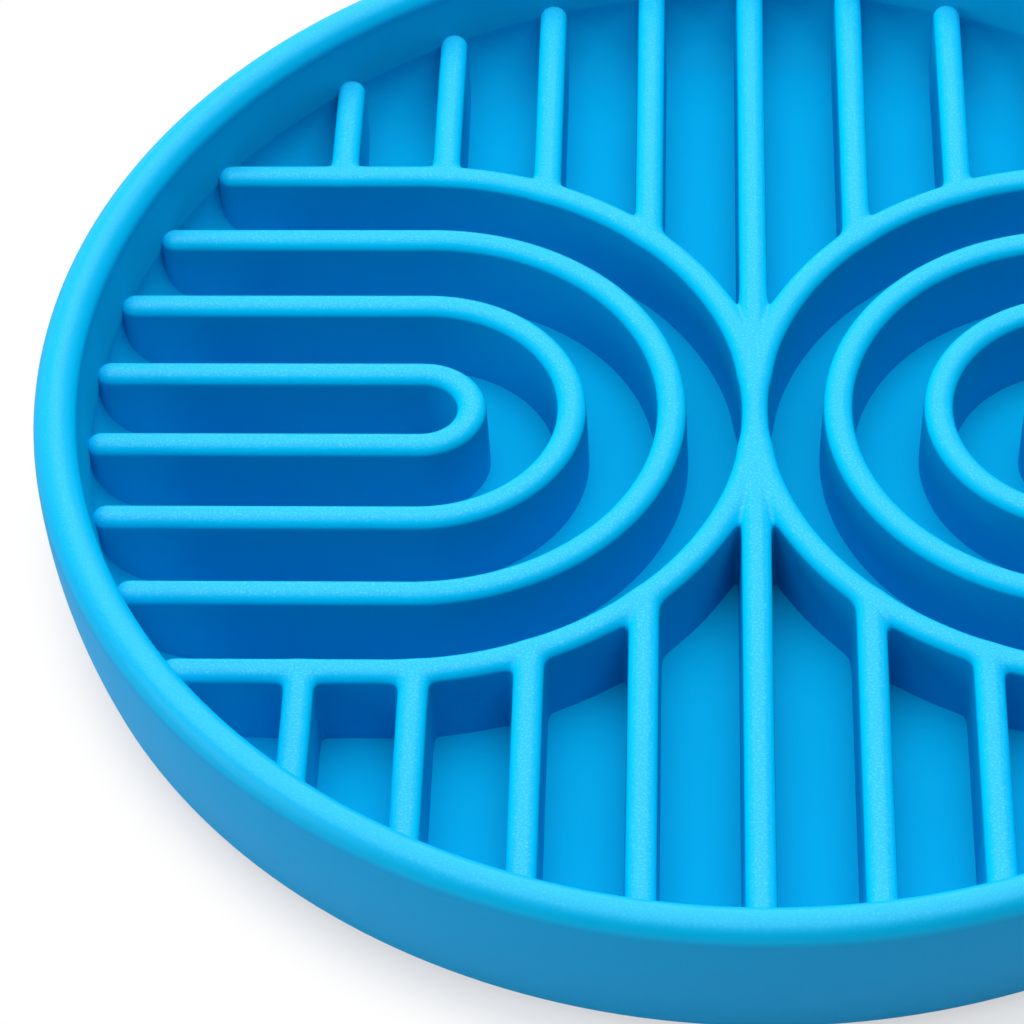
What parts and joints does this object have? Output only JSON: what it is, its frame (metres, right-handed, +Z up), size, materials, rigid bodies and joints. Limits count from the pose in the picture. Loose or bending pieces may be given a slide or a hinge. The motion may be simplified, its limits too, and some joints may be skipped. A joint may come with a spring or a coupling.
{
  "type": "slow feeder bowl",
  "caption": "Shallow round pet bowl with nested U ridges and straight ribs on its floor that slow a dog's eating, a rounded rim and non-slip rubber feet.",
  "frame": {"origin": "on the ground, under the middle of the bowl", "axes": "+Z up; +X to the right and +Y away from the viewer, with the two sets of loops to the left and right"},
  "size_m": [0.2, 0.2, 0.0238],
  "materials": {
    "bowl_blue": "matte, fine moulded grain",
    "foot_rubber": "matte"
  },
  "bodies": {
    "root": {"floor_plate": "bowl_blue", "corner_cove": "bowl_blue", "rim_wall": "bowl_blue", "left_loop_1": "bowl_blue", "left_loop_2": "bowl_blue", "left_loop_3": "bowl_blue", "left_loop_4": "bowl_blue", "right_loop_1": "bowl_blue", "right_loop_2": "bowl_blue", "right_loop_3": "bowl_blue", "right_loop_4": "bowl_blue", "far_rib_centre": "bowl_blue", "far_rib_left_1": "bowl_blue", "far_rib_left_2": "bowl_blue", "far_rib_left_3": "bowl_blue", "far_rib_left_4": "bowl_blue", "far_rib_right_1": "bowl_blue", "far_rib_right_2": "bowl_blue", "far_rib_right_3": "bowl_blue", "far_rib_right_4": "bowl_blue", "near_rib_centre": "bowl_blue", "near_rib_left_1": "bowl_blue", "near_rib_left_2": "bowl_blue", "near_rib_left_3": "bowl_blue", "near_rib_left_4": "bowl_blue", "near_rib_right_1": "bowl_blue", "near_rib_right_2": "bowl_blue", "near_rib_right_3": "bowl_blue", "near_rib_right_4": "bowl_blue", "rubber_foot_1": "foot_rubber", "rubber_foot_2": "foot_rubber", "rubber_foot_3": "foot_rubber", "rubber_foot_4": "foot_rubber", "rubber_foot_5": "foot_rubber", "rubber_foot_6": "foot_rubber"}
  },
  "joints": []
}
